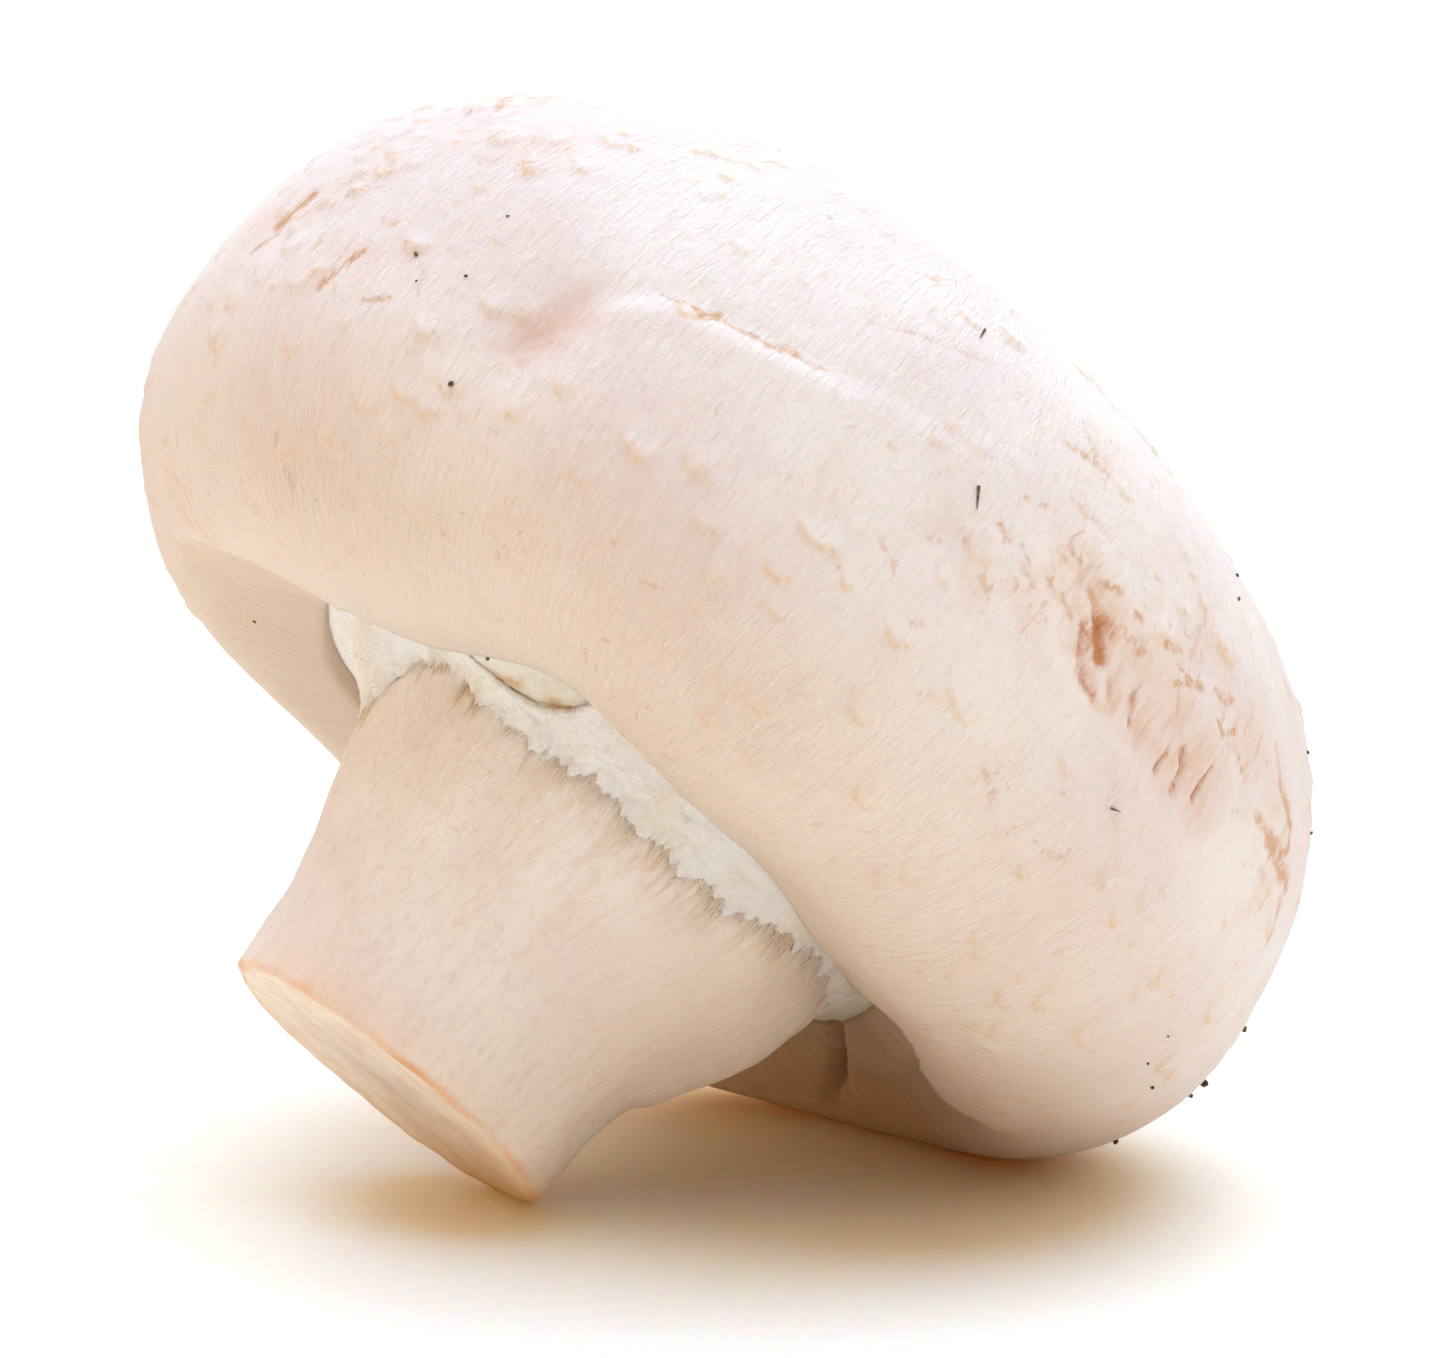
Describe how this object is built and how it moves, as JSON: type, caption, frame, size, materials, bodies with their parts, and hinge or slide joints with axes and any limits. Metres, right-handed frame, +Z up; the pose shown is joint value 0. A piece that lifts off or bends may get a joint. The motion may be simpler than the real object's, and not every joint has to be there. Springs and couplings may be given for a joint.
{
  "type": "button mushroom",
  "caption": "Whole closed-cup button mushroom lying on its side: a rounded white cap rolled in at its margin, a short flared stem with a flat cut end, and a thin veil joining the two.",
  "frame": {"origin": "on the ground, under the middle of the mushroom's bounding box as it lies", "axes": "+Z up; the mushroom's own axis lies in the XZ plane, with the crown towards +X and up and the cut end of the stem towards -X and down; +Y runs across the cap, along its full diameter"},
  "size_m": [0.0452, 0.052, 0.0437],
  "materials": {
    "cap_skin": "matte",
    "stem_flesh": "matte",
    "veil_tissue": "matte"
  },
  "bodies": {
    "root": {"cap": "cap_skin", "stem": "stem_flesh", "veil": "veil_tissue"}
  },
  "joints": []
}
